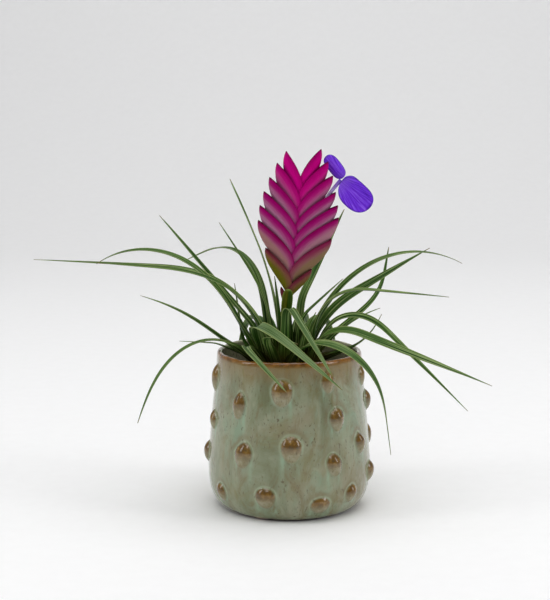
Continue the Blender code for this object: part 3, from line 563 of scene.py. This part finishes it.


# ---------------------------------------------------------------- leaves
# Thirty-four narrow channelled strap leaves, each clasping the crown with a broad maroon sheath. They
# are dark green with fine parallel veins and a pale edge; those that fold over to the front carry a
# painted sage sheen, the overhead lamp's reflection on their upturned faces. Each leaf grew as one piece.

LEAF_RINGS = (21.6 * MM, 17.3 * MM, 12.8 * MM, 8.4 * MM)
SHEATH_WIDTH = 7.8 * MM
SHEATH_LENGTH = 16 * MM
LEAF_THICKNESS = 0.75 * MM
LEAF_TIP = 0.4 * MM
LEAF_ROWS = 84
LEAF_LANES = 13
LEAVES = (
    # name, ring, seat, heading, length, blade, rise, tip rise, start, stretch, sway, flatten and painted
    # sheen, roll
    ("leaf_01", 0, 31, 22, 63, 4.0, 46, 12, 0.05, 1.0, 12, 0.1, 0),
    ("leaf_02", 0, 55, 34, 120, 4.0, 30, 42, 0.40, 0.45, 42, 0.1, 50),
    ("leaf_03", 0, 80, 76, 112, 6.5, 56, -55, -0.05, 0.9, 8, 0.3, 8),
    ("leaf_04", 0, 106, 104, 108, 6.5, 54, -58, -0.05, 0.9, -6, 0.3, -8),
    ("leaf_05", 0, 8, 6, 56, 4.0, 22, 64, 0.30, 0.7, 0, 0.1, 0),
    ("leaf_06", 0, 132, 146, 62, 3.0, 12, 81, 0.05, 0.45, 0, 0.1, 0),
    ("leaf_07", 0, 155, 188, 56, 3.0, 24, 6, 0.45, 0.2, 6, 0.1, 0),
    ("leaf_08", 0, 179, 196, 92, 5.5, 38, 20, 0.35, 0.7, 0, 0.1, -25),
    ("leaf_09", 0, 203, 208, 121, 5.0, 80, -66, -0.35, 1.35, 10, 0.2, 0),
    ("leaf_10", 0, 227, 205, 96, 5.5, 64, -20, -0.10, 0.7, 95, 0.9, 0),
    ("leaf_11", 1, 212, 220, 123, 9.0, 86, -32, -0.12, 0.8, 107, 1.0, 20),
    ("leaf_12", 0, 281, 277, 135, 6.5, 84, -82, -0.25, 1.12, 94, 0.55, 30),
    ("leaf_13", 0, 320, 331, 141, 7.5, 82, -19, -0.01, 0.4, 14, 0.3, 35),
    ("leaf_14", 0, 345, 340, 147, 6.5, 84, -44, 0.02, 0.5, 13, 0.2, 30),
    ("leaf_15", 1, 26, 21, 121, 8.0, 82, 26, -0.10, 0.65, 1, 0.15, 30),
    ("leaf_16", 1, 58, 62, 104, 6.5, 68, -50, -0.1, 0.9, 10, 0.3, 6),
    ("leaf_17", 1, 89, 88, 108, 6.5, 68, -48, -0.1, 0.9, 6, 0.3, -6),
    ("leaf_18", 1, 120, 114, 104, 6.5, 68, -50, -0.1, 0.9, -6, 0.3, 6),
    ("leaf_19", 1, 152, 151, 127, 7.0, 82, 44, -0.04, 0.32, 0, 0.1, 0),
    ("leaf_20", 1, 184, 189, 148, 8.5, 62, -108, 0.16, 1.55, -4, 0.2, -20),
    ("leaf_21", 0, 251, 232, 60, 6.0, 62, -14, 0.08, 0.9, 105, 0.7, 0),
    ("leaf_22", 1, 268, 288, 110, 6.4, 88, -33, 0.28, 0.18, 10, 0.8, 0),
    ("leaf_23", 1, 305, 320, 40, 5.0, 84, 60, 0.0, 1.0, 0, 0.1, 0),
    ("leaf_24", 1, 350, 347, 126, 6.5, 84, -4, 0.12, 0.5, 6, 0.1, 5),
    ("leaf_25", 2, 12, 15, 151, 6.5, 83, -62, -0.235, 1.8, 3, 0.15, 15),
    ("leaf_26", 2, 50, 72, 127, 5.5, 84, 39, 0.2, 0.2, -10, 0.1, 30),
    ("leaf_27", 3, 122, 140, 56, 4.5, 88, 82, 0.1, 0.9, 0, 0.1, 0),
    ("leaf_28", 2, 146, 137, 138, 7.5, 80, -22, 0.23, 0.63, 0, 0.45, 0),
    ("leaf_29", 2, 187, 174, 194, 6.5, 84, 2, -0.07, 0.66, -2, 0.15, -10),
    ("leaf_30", 3, 20, 42, 74, 3.5, 86, 28, 0.20, 0.33, 3, 0.1, 0),
    ("leaf_31", 2, 102, 119, 142, 5.5, 74, 45, 0.1, 0.6, 0, 0.15, 60),
    ("leaf_32", 3, 188, 150, 104, 3.5, 84, 50, 0.10, 0.6, -5, 0.1, 0),
    ("leaf_33", 2, 229, 194, 150, 5.5, 84, 5, -0.12, 0.9, -12, 0.1, -15),
    ("leaf_34", 3, 70, 110, 75, 3.0, 84, 12, 0.70, 0.3, 66, 0.1, 0),
)


def leaf_midline(ring, seat, heading, length, rise, tip_rise, start, stretch, sway, steps):
    """Walk along the leaf while its rise and heading ease from the base values to the tip values.

    Returns each point's share of the length, its place, and the directions forward, to the leaf's
    left and out of its upper face.
    """
    share = np.linspace(0.0, 1.0, steps + 1)
    turning = ease((share - start) / stretch)
    pitch = np.radians(rise + (tip_rise - rise) * turning)
    yaw = np.radians(heading + sway * turning)
    forward = np.stack((np.cos(pitch) * np.cos(yaw), np.cos(pitch) * np.sin(yaw), np.sin(pitch)), 1)
    left = np.stack((-np.sin(yaw), np.cos(yaw), np.zeros_like(yaw)), 1)
    radius = LEAF_RINGS[ring]
    base = np.array((CROWN_CENTRE[0] + radius * math.cos(math.radians(seat)),
                     CROWN_CENTRE[1] + radius * math.sin(math.radians(seat)), crown_top(radius) + 1.6 * MM))
    walk = 0.5 * (forward[1:] + forward[:-1]) * (length * MM / steps)
    places = base + np.concatenate((np.zeros((1, 3)), np.cumsum(walk, 0)))
    return share, places, forward, left, np.cross(forward, left)


def leaf_width(share, length, blade):
    """Full width: a broad clasping sheath that dies out as a bell curve, an even blade, a long fine tip."""
    sheath = np.exp(-((share * length * MM / SHEATH_LENGTH) ** 2))
    clasp = min(1.5 * SHEATH_WIDTH, 2.6 * blade * MM)
    return blade * MM * (1.0 - share ** 2.4) ** 0.85 * (1.0 - sheath) + clasp * sheath + LEAF_TIP * share


def close_sheet(face, back):
    """Points and faces of a thin closed body: two grids back to back, and a rim all the way round."""
    rows, wide = face.shape[:2]
    index = np.arange(rows * wide).reshape(rows, wide)
    quads = np.stack((index[:-1, :-1], index[:-1, 1:], index[1:, 1:], index[1:, :-1]), -1).reshape(-1, 4)
    edge = np.concatenate((index[0, :-1], index[:-1, -1], index[-1, :0:-1], index[:0:-1, 0]))
    after = np.roll(edge, -1)
    rim = np.stack((after, edge, edge + rows * wide, after + rows * wide), -1)
    points = np.concatenate((face.reshape(-1, 3), back.reshape(-1, 3)))
    return points, np.concatenate((quads, quads[:, ::-1] + rows * wide, rim)).tolist()


def twice(values):
    """A mark for both faces of a thin sheet, from its grid."""
    return np.concatenate((values.reshape(-1, *values.shape[2:]),) * 2)


def leaf_grids(ring, seat, heading, length, blade, rise, tip_rise, start, stretch, sway, flatten_and_sheen, roll):
    """Upper and lower face of a leaf as grids of rows along it and lanes across it.

    A lane's point is the midline, plus the left direction by its share of the half width, plus the
    upper direction by the channel: a power of the share times a depth that eases out along the leaf.
    Both directions are first turned about the leaf's own line by its roll, most at half its length.
    """
    share, mid, forward, left, upper = leaf_midline(
        ring, seat, heading, length, rise, tip_rise, start, stretch, sway, LEAF_ROWS)
    angle = np.radians(roll * np.sin(math.pi * share))[:, None]
    left, upper = left * np.cos(angle) + upper * np.sin(angle), upper * np.cos(angle) - left * np.sin(angle)
    lane = np.linspace(-1.0, 1.0, LEAF_LANES)[None, :, None]
    half = 0.5 * leaf_width(share, length, blade)[:, None, None]
    along = (share * length * MM)[:, None, None]
    # a leaf that hangs over opens out its channel by the same share that lays painted sheen on its face
    open_out = 1.0 - 0.65 * flatten_and_sheen * ease((share - 0.3) / 0.25)[:, None, None]
    channel = (0.40 + 0.45 * np.exp(-(along / (22 * MM)) ** 2)) * open_out
    slim = np.clip(half / (3.9 * MM), 0.25, 1.0)
    body = mid[:, None] + left[:, None] * half * lane
    body = body + upper[:, None] * half * channel * (np.abs(lane) ** 1.5 - 0.12)
    skin = 0.5 * LEAF_THICKNESS * slim * (1.0 - 0.8 * lane ** 2) + 0.05 * MM
    return share, lane[0, :, 0], half[:, 0, 0], body + upper[:, None] * skin, body - upper[:, None] * skin


def make_leaf_finish():
    """Leaf skin: painted shade down the channel's groove and painted light on its walls, pale edges, maroon
    base, painted sheen where a leaf hangs over, dry tip.
    """
    skin = Finish("leaf_skin", roughness=0.42, specular_ior_level=0.1)
    blade = skin.mark("blade", "Vector")
    vein = skin.grain(skin.drawn(blade, (1.0, 0.012, 1.0)), 1300.0, 2.0)
    cloud = skin.grain(skin.drawn(blade, (0.6, 1.0, 40.0)), 60.0, 2.0)
    # painted light and shade across the blade: dark down the channel's groove and towards the edges, lighter
    # on its two walls, one wall lighter than the other
    channel_shading = skin.ramp(skin.mark("lane"), (0.06, 0.15), (0.20, 0.62), (0.40, 0.25), (0.48, 0.0), (0.56, 0.3),
                    (0.76, 0.8), (0.93, 0.2))
    light = skin.times(channel_shading, 0.62, skin.times(vein, 3.2, -1.40))
    green = skin.ramp(light, (0.08, 12, 34, 0), (0.40, 48, 84, 18), (0.74, 108, 140, 68),
                      (1.0, 160, 176, 112))
    green = skin.wash(green, swatch(40, 80, 16), cloud, (0.38, 0.0), (0.62, 0.5))
    # painted sheen: a pale sage laid over the green of a leaf that hangs over, fading in from 20 mm to 50 mm
    # along it, standing in for the overhead lamp's reflection on its upturned face
    sheen_sage = skin.ramp(light, (0.10, 50, 78, 34), (0.45, 84, 110, 62), (0.9, 124, 144, 98))
    along = skin.mark("along")
    flatten_and_sheen = skin.times(skin.mark("flatten_and_sheen"), skin.ramp(along, (0.2, 0.0), (0.5, 1.0)))
    colour = skin.over(flatten_and_sheen, green, sheen_sage)
    # painted shade: the pale edge is dark green for its first 16 mm and pales by 40 mm, where shade falls
    # among the crowded leaf bases
    edge = skin.ramp(along, (0.16, 40, 56, 14), (0.4, 160, 174, 108))
    colour = skin.wash(colour, edge, skin.mark("side"), (0.84, 0.0), (0.95, 0.8))
    maroon = skin.ramp(vein, (0.35, 34, 26, 4), (0.65, 78, 62, 18))
    colour = skin.wash(colour, maroon, along, (0.05, 0.85), (0.12, 0.35), (0.20, 0.0))
    colour = skin.wash(colour, swatch(122, 104, 58), skin.mark("share"), (0.955, 0.0), (0.99, 0.8))
    return skin.finish(colour, normal=skin.relief(light, 0.12 * MM))


leaf_finish = make_leaf_finish()
for number, (name, *growth) in enumerate(LEAVES):
    share, lane, half, face, under = leaf_grids(*growth)
    length, flatten_and_sheen = growth[3] * MM, growth[10]
    rows, lanes = np.meshgrid(share, lane, indexing="ij")
    blade = np.stack((lanes * half[:, None], rows * length, np.full(rows.shape, 0.01 * number)), -1)
    both = {"share": rows, "side": np.abs(lanes), "lane": 0.5 + 0.5 * lanes,
            "along": np.clip(rows * length / (100 * MM), 0.0, 1.0), "flatten_and_sheen": np.full(rows.shape, flatten_and_sheen)}
    set_piece(name + "_blade", *close_sheet(face, under), leaf_finish, "leaf_green", (name,),
              blade=twice(blade), **{key: twice(values) for key, values in both.items()})


# ---------------------------------------------------------------- flower stalk
# The stalk rises from the middle of the crown, stout and brown-green, and runs on as a thin axis
# between the bracts.

SPIKE_FOOT = np.array((-1.2 * MM, 0.0, 145 * MM))
SPIKE_LEAN = math.radians(6.2)
SPIKE_RIGHT = np.array((math.cos(SPIKE_LEAN), 0.0, -math.sin(SPIKE_LEAN)))
SPIKE_UP = np.array((math.sin(SPIKE_LEAN), 0.0, math.cos(SPIKE_LEAN)))
SPIKE_BACK = np.array((0.0, 1.0, 0.0))
SCAPE_RADIUS = 3.4 * MM
RACHIS_RADIUS = 0.9 * MM
RACHIS_TOP = 72 * MM
BRACT_FIRST = -10 * MM
BRACT_STEP = 5 * MM


def on_spike(across, along, depth):
    """Spike measures (to the right, up the axis, to the back) as places: the foot plus each direction."""
    across, along, depth = (np.asarray(value, float)[..., None] for value in (across, along, depth))
    return SPIKE_FOOT + across * SPIKE_RIGHT + along * SPIKE_UP + depth * SPIKE_BACK


def tube_rings(centres, radii, segments):
    """Rings of a tube: circles of each radius, square to the path through the centres."""
    forward = np.gradient(centres, axis=0)
    forward /= np.linalg.norm(forward, axis=1)[:, None]
    side = np.cross(forward, (0.0, 1.0, 0.0))
    side /= np.linalg.norm(side, axis=1)[:, None]
    other = np.cross(forward, side)
    turn = np.linspace(0.0, 2.0 * math.pi, segments, endpoint=False)[None, :, None]
    circle = side[:, None] * np.cos(turn) + other[:, None] * np.sin(turn)
    return centres[:, None] + circle * radii[:, None, None]


def smooth_through(values, steps):
    """Values read evenly along a line of given ones, with the corners eased by a short running mean."""
    values = np.asarray(values, float)
    fine = np.linspace(0.0, len(values) - 1.0, steps)
    lines = np.stack([np.interp(fine, np.arange(len(values)), column) for column in values.T], 1)
    padded = np.concatenate((lines[:1] * 2 - lines[3:0:-1], lines, lines[-1:] * 2 - lines[-2:-5:-1]))
    return sum(padded[i:i + steps] for i in range(7)) / 7.0


stalk_base = np.array((CROWN_CENTRE[0], CROWN_CENTRE[1], crown_top(0.0) + GAP))
stalk_foot = on_spike(0.0, BRACT_FIRST - 5 * MM, 0.0)
stalk_path = [stalk_base + (stalk_foot - stalk_base) * share for share in (0.0, 0.35, 0.7, 1.0)]
stalk_path += [on_spike(0.0, along, 0.0) for along in (BRACT_FIRST - 2 * MM, 0.25 * RACHIS_TOP,
                                                       0.6 * RACHIS_TOP, RACHIS_TOP)]
stalk_radii = np.array((1.0, 0.9, 0.85, 0.8, 0.27, 0.26, 0.25, 0.16)) * SCAPE_RADIUS
stalk_lines = smooth_through(np.column_stack((stalk_path, stalk_radii)), 60)
stalk = Finish("scape_stem", roughness=0.55)
fibre = stalk.grain(stalk.place(0.12), 900.0, 3.0)
stalk.finish(stalk.ramp(fibre, (0.3, 30, 16, 10), (0.7, 70, 48, 22)),
             normal=stalk.relief(fibre, 0.15 * MM))
set_piece("scape_stalk", *close_rings(tube_rings(stalk_lines[:, :3], stalk_lines[:, 3], 28)),
          stalk.material, "scape_stem", ("scape",))


# ---------------------------------------------------------------- small bract on the stalk
# A short leafy bract with a rounded tip stands in front of the foot of the spike. Its right half is
# green, its left half olive brown, with a fold between them and a pale edge.

SMALL_BRACT_FOOT = -16 * MM
SMALL_BRACT_LENGTH = 18.7 * MM
SMALL_BRACT_HALF = 3.9 * MM
SMALL_BRACT_THICKNESS = 0.6 * MM


def small_bract_grid():
    """Rows up the bract and lanes across: the half width rounds off to the tip, and a fold runs up it."""
    share = np.linspace(0.0, 1.0, 30)[:, None]
    lane = np.linspace(-1.0, 1.0, 17)[None, :]
    half = SMALL_BRACT_HALF * np.sqrt(np.clip(1.0 - share ** 5, 0.0, 1.0)) * (0.8 + 0.2 * share) + 0.05 * MM
    along = SMALL_BRACT_FOOT + SMALL_BRACT_LENGTH * share + 0.0 * lane
    depth = -(4.2 + 2.4 * share) * MM + 1.5 * MM * np.abs(lane) ** 1.6
    return share, lane, on_spike(lane * half + 0.3 * MM, along, depth)


def skin_grids(grid, thickness):
    """Two faces half a thickness either side of a grid, along its own normals."""
    normal = np.cross(np.gradient(grid, axis=1), np.gradient(grid, axis=0))
    normal /= np.maximum(np.linalg.norm(normal, axis=2), 1e-12)[..., None]
    return grid + 0.5 * thickness * normal, grid - 0.5 * thickness * normal


share, lane, grid = small_bract_grid()
leafy = Finish("scape_bract_green", roughness=0.45, specular_ior_level=0.1)
vein = leafy.grain(leafy.drawn(leafy.mark("blade", "Vector"), (1.0, 0.03, 1.0)), 1400.0, 2.0)
olive_half = leafy.ramp(vein, (0.3, 62, 68, 0), (0.7, 92, 98, 8))
green_half = leafy.ramp(vein, (0.3, 24, 52, 0), (0.7, 62, 90, 4))
halves = leafy.wash(olive_half, green_half, leafy.mark("lane"), (0.46, 0.0), (0.54, 1.0))
halves = leafy.wash(halves, swatch(122, 146, 66), leafy.mark("edge"), (0.80, 0.0), (0.95, 0.8))
leafy.finish(halves, normal=leafy.relief(vein, 0.08 * MM))
share, lane = np.broadcast_arrays(share, lane)
set_piece("stalk_bract", *close_sheet(*skin_grids(grid, SMALL_BRACT_THICKNESS)), leafy.material,
          "scape_bract_green", ("scape_bract",), lane=twice(0.5 + 0.5 * lane),
          edge=twice(np.maximum(np.abs(lane), share ** 3)),
          blade=twice(np.stack((lane * SMALL_BRACT_HALF, share * SMALL_BRACT_LENGTH, 0 * lane), -1)))


# ---------------------------------------------------------------- bracts of the spike
# Sixteen boat-shaped bracts in two flat ranks, each folded on its keel and wrapping the younger ones.
# They are magenta above, mauve where covered, brown and olive at the foot, with fine veins and a dark edge.

BRACT_WALL = 0.3 * MM
BRACT_LENGTHS = (
    14, 26.5, 33.4, 42.2, 43.7, 47.8, 43.7, 45.3, 42.3, 42.7, 40.6, 41.5, 38.7, 38.5, 35.3, 34.2)
BRACT_LEANS = (20, 33, 32.5, 37, 34.5, 36.5, 34.5, 36.5, 33, 35, 30, 31, 25, 26.5, 18.5, 20)
BRACT_FLARES = (0, 2, 2, 10, 2, 18, 5, 14, 16, 8, 6, 8, 18, 26, 22, 22)  # more lean at the keel's start
KEEL_CURL = 42.0  # degrees the keel turns in by its tip
BRACT_ROWS = 46
BRACT_LANES = 27


def bezier(points, share):
    """Cubic curve: four control points weighted by the cubic's terms in the share."""
    p0, p1, p2, p3 = (np.asarray(point, float) for point in points)
    t = share[:, None]
    return (1 - t) ** 3 * p0 + 3 * (1 - t) ** 2 * t * p1 + 3 * (1 - t) * t ** 2 * p2 + t ** 3 * p3


def bract_outline(number):
    """Keel and margin curves of a bract, drawn as if it grew to the right of the axis."""
    base = BRACT_FIRST + number * BRACT_STEP
    length = BRACT_LENGTHS[number] * MM
    lean = math.radians(BRACT_LEANS[number])
    tip = np.array((length * math.sin(lean), base + length * math.cos(lean)))
    grown = tip[1] - base
    start, end = lean + math.radians(BRACT_FLARES[number]), lean - math.radians(KEEL_CURL)
    keel = ((RACHIS_RADIUS + 0.5 * MM, base),
            (RACHIS_RADIUS + 0.33 * length * math.sin(start), base + 0.33 * length * math.cos(start)),
            tip - 0.28 * length * np.array((math.sin(end), math.cos(end))), tip)
    overhang = 0.05 if number % 2 else 0.165
    margin = ((-RACHIS_RADIUS - 0.4 * MM, base + 0.03 * grown), (-overhang * length, base + 0.43 * grown),
              (0.37 * tip[0], base + 0.745 * grown), tip)
    return base, keel, margin


def bract_grids(number):
    """Outer and inner face of a bract: straight lines from keel to margin, swollen to front and back.

    The swelling grows with the height above the bract's base, is rounded at the keel, and closes
    towards the tip. The inner face is the outer one moved in along its normals.
    """
    base, keel, margin = bract_outline(number)
    share = np.linspace(0.0, 0.992, BRACT_ROWS)
    lane = np.linspace(-1.0, 1.0, BRACT_LANES)
    wall = np.sign(lane) * np.abs(lane) ** 1.5
    keel_line = bezier(keel, share)[:, None, :]
    margin_line = bezier(margin, share)[:, None, :]
    reach = np.abs(wall)[None, :, None]
    flat = keel_line * (1.0 - reach) + margin_line * reach
    height = np.clip(flat[..., 1] - base, 0.0, None)
    swell = 1.9 * MM + 0.06 * height + 1.4 * MM * (1.0 - np.exp(-height / (12 * MM)))
    section = (1.0 - (1.0 - np.abs(wall)) ** 3)[None, :] ** 0.75
    closing = np.sqrt(np.clip(1.0 - share ** 8, 0.0, 1.0))[:, None]
    side = 1.0 if number % 2 else -1.0
    outer = on_spike(side * flat[..., 0], flat[..., 1], swell * section * closing * np.sign(wall)[None, :])
    normal = np.cross(np.gradient(outer, axis=1), np.gradient(outer, axis=0))
    normal /= np.maximum(np.linalg.norm(normal, axis=2), 1e-12)[..., None]
    keel_lane = slice(BRACT_LANES // 2, BRACT_LANES // 2 + 1)
    proud = outer[:, keel_lane] - outer.mean(1, keepdims=True)
    outward = np.sign(np.sum(normal[:, keel_lane] * proud, 2, keepdims=True))
    breadth = np.linalg.norm(margin_line - keel_line, axis=2)
    covered = (1.0 - np.abs(wall))[None, :] * breadth
    share = share[:, None] + 0 * covered
    grain = np.stack((covered, share * BRACT_LENGTHS[number] * MM, 0.01 * number + 0 * covered), -1)
    return outer, outer - normal * outward * BRACT_WALL, share, covered, grain


def make_bract_finish():
    """Bract skin: dark at the margin, magenta, then mauve towards what it covers; brown-olive when low."""
    skin = Finish("bract_skin", roughness=0.5, specular_ior_level=0.03)
    vein = skin.grain(skin.drawn(skin.mark("grain", "Vector"), (1.0, 0.05, 1.0)), 1000.0, 4.0, 0.65)
    covered = skin.fade(skin.mark("covered"), 0.0, 10 * MM, 0.0, 1.0)
    low = skin.ramp(skin.mark("share"), (0.18, 0.30), (0.62, 0.0))
    covered = skin.times(covered, 1.0, low)
    wavy = skin.times(vein, 0.42, covered, False)
    rich = skin.ramp(wavy, (0.20, 132, 0, 82), (0.42, 154, 0, 100), (0.64, 160, 32, 112),
                     (0.86, 170, 88, 134), (1.0, 176, 116, 148))
    bright = skin.ramp(wavy, (0.14, 144, 0, 90), (0.4, 180, 0, 114), (0.75, 206, 0, 134), (1.0, 176, 16, 118))
    pale = skin.ramp(wavy, (0.20, 112, 0, 58), (0.44, 144, 4, 88), (0.66, 152, 52, 106),
                     (0.88, 166, 100, 124), (1.0, 164, 118, 114))
    brown = skin.ramp(wavy, (0.2, 84, 24, 34), (0.42, 118, 50, 62), (0.66, 128, 88, 62), (0.95, 108, 104, 22))
    ripe = skin.mark("ripe")
    colour = skin.wash(brown, pale, ripe, (0.16, 0.0), (0.24, 1.0))
    colour = skin.wash(colour, rich, ripe, (0.26, 0.0), (0.40, 1.0))
    colour = skin.wash(colour, bright, ripe, (0.66, 0.0), (0.90, 1.0))
    margin = skin.fade(skin.mark("covered"), 0.1 * MM, 0.5 * MM, 0.2, 0.0)
    colour = skin.over(margin, colour, swatch(96, 0, 50))
    colour = skin.wash(colour, swatch(88, 8, 38), skin.mark("share"), (0.93, 0.0), (0.985, 0.8))
    return skin.finish(colour, normal=skin.relief(vein, 0.05 * MM))


bract_finish = make_bract_finish()
for number in range(len(BRACT_LENGTHS)):
    outer, inner, share, covered, grain = bract_grids(number)
    node = f"bract_{'right' if number % 2 else 'left'}_{number // 2 + 1}"
    both = {"share": share, "covered": covered, "ripe": number / 15.0 + 0 * covered, "grain": grain}
    set_piece(node + "_boat", *close_sheet(outer, inner), bract_finish,
              "bract_base" if number < 3 else "bract_magenta", (node,), 50.0,
              **{key: twice(values) for key, values in both.items()})


# ---------------------------------------------------------------- the open flower
# One flower stands out of a right-hand bract: a pale lilac tube and three violet petals, the front
# one broad with its upper edge rolled back.

TUBE_PATH = np.array(((13.9, 56.5, 0.0), (17.2, 62.9, 0.0), (20.5, 68.5, 0.0), (23.6, 73.6, 0.0),
                      (26.9, 78.2, 0.0))) * MM
TUBE_RADII = np.array((0.9, 0.95, 1.1, 1.25, 1.4)) * MM
TUBE_ROWS = 30
TUBE_LANES = 24
PETAL_THICKNESS = 0.28 * MM
PETAL_ROWS = 48
PETAL_LANES = 41
PETALS = (
    # name, start, direction, length, width, squareness, depth at the tip, cupping, turn-back
    ("petal_1", (27.5, 77.2, -1.9), -36, 25.0, 19.0, 2.4, -4.6, -2.2, 1.0),
    ("petal_2", (28.2, 79.8, 2.1), 135, 17.5, 8.6, 3.4, 9.5, 1.5, 0.3),
    ("petal_3", (28.4, 78.6, 3.2), -32, 14.0, 11.0, 2.4, 14.0, 2.0, 0.0),
)


def petal_grid(start, direction, length, width, square, tip_depth, cup, fold):
    """Rows out along the petal and lanes across it, drawn as a rounded limb on a very short claw.

    The half width is an oval's, a power of one less a power of the distance from the middle. The limb
    bows to its tip, cups across, ruffles at the edge, and its upper edge rolls back along a crease.
    """
    share = 0.5 - 0.5 * np.cos(np.linspace(0.0, math.pi, PETAL_ROWS))[:, None]
    lane = np.linspace(-1.0, 1.0, PETAL_LANES)[None, :]
    angle = math.radians(direction)
    half = 0.5 * width * np.clip(1.0 - np.abs(2.0 * share - 1.0) ** square, 0.0, 1.0) ** 0.5 + 0.35
    out = length * share + 0.0 * lane
    rolled = fold * np.clip(lane - 0.58, 0.0, 1.0) * np.sin(math.pi * share) ** 0.6
    side = half * (lane - 0.35 * rolled)
    across = start[0] + out * math.cos(angle) - side * math.sin(angle)
    along = start[1] + out * math.sin(angle) + side * math.cos(angle)
    depth = start[2] + (tip_depth - start[2]) * share ** 1.5
    depth = depth + cup * lane ** 2 * np.sin(math.pi * share) ** 0.5
    depth += 7.0 * rolled + 1.1 * fold * np.exp(-((lane - 0.52) / 0.10) ** 2) * np.sin(math.pi * share)
    depth += 0.35 * np.sin(11.0 * share + 4.0 * lane) * np.abs(lane) ** 2.5
    return share, lane, on_spike(across * MM, along * MM, depth * MM), side * MM, out * MM


tube_line = smooth_through(np.column_stack((TUBE_PATH, TUBE_RADII)), TUBE_ROWS)
tube_centres = on_spike(tube_line[:, 0], tube_line[:, 1], tube_line[:, 2])
tube_up = np.linspace(0.0, 1.0, TUBE_ROWS)[:, None] + np.zeros((1, TUBE_LANES))
tube = Finish("flower_tube_pale", roughness=0.5)
tube_vein = tube.grain(tube.place(0.2), 900.0, 2.0)
tube_colour = tube.ramp(tube.mark("up"), (0.35, 214, 204, 226), (0.75, 150, 116, 206), (1.0, 92, 48, 186))
tube_colour = tube.wash(tube_colour, swatch(160, 130, 210), tube_vein, (0.4, 0.0), (0.7, 0.35))
tube.finish(tube_colour, normal=tube.relief(tube_vein, 0.05 * MM))
set_piece("flower_tube_skin", *close_rings(tube_rings(tube_centres, tube_line[:, 3], TUBE_LANES)),
          tube.material, "flower_tube_pale", ("flower_tube",), up=ring_mark(tube_up))

violet = Finish("petal_violet", roughness=0.5, specular_ior_level=0.12)
petal_vein = violet.grain(violet.drawn(violet.mark("ray", "Vector"), (1.0, 0.08, 1.0)), 900.0, 3.0, 0.6)
petal_colour = violet.ramp(petal_vein, (0.28, 82, 22, 184), (0.52, 114, 52, 222), (0.74, 164, 108, 244))
petal_colour = violet.wash(petal_colour, swatch(52, 6, 122), violet.mark("edge"), (0.86, 0.0), (0.98, 0.7))
petal_colour = violet.wash(petal_colour, swatch(132, 88, 214), violet.mark("out"), (0.02, 0.55), (0.3, 0.0))
violet.finish(petal_colour, normal=violet.relief(petal_vein, 0.08 * MM))
for name, *growth in PETALS:
    share, lane, grid, side, out = petal_grid(*growth)
    share, lane = np.broadcast_arrays(share, lane)
    ray = np.stack((side / (0.25 + share), out, 0.01 * growth[2] * MM + 0 * side), -1)
    set_piece(name + "_limb", *close_sheet(*skin_grids(grid, PETAL_THICKNESS)), violet.material,
              "petal_violet", (name,), ray=twice(ray), out=twice(share),
              edge=twice(np.maximum(np.abs(lane), share ** 2)))
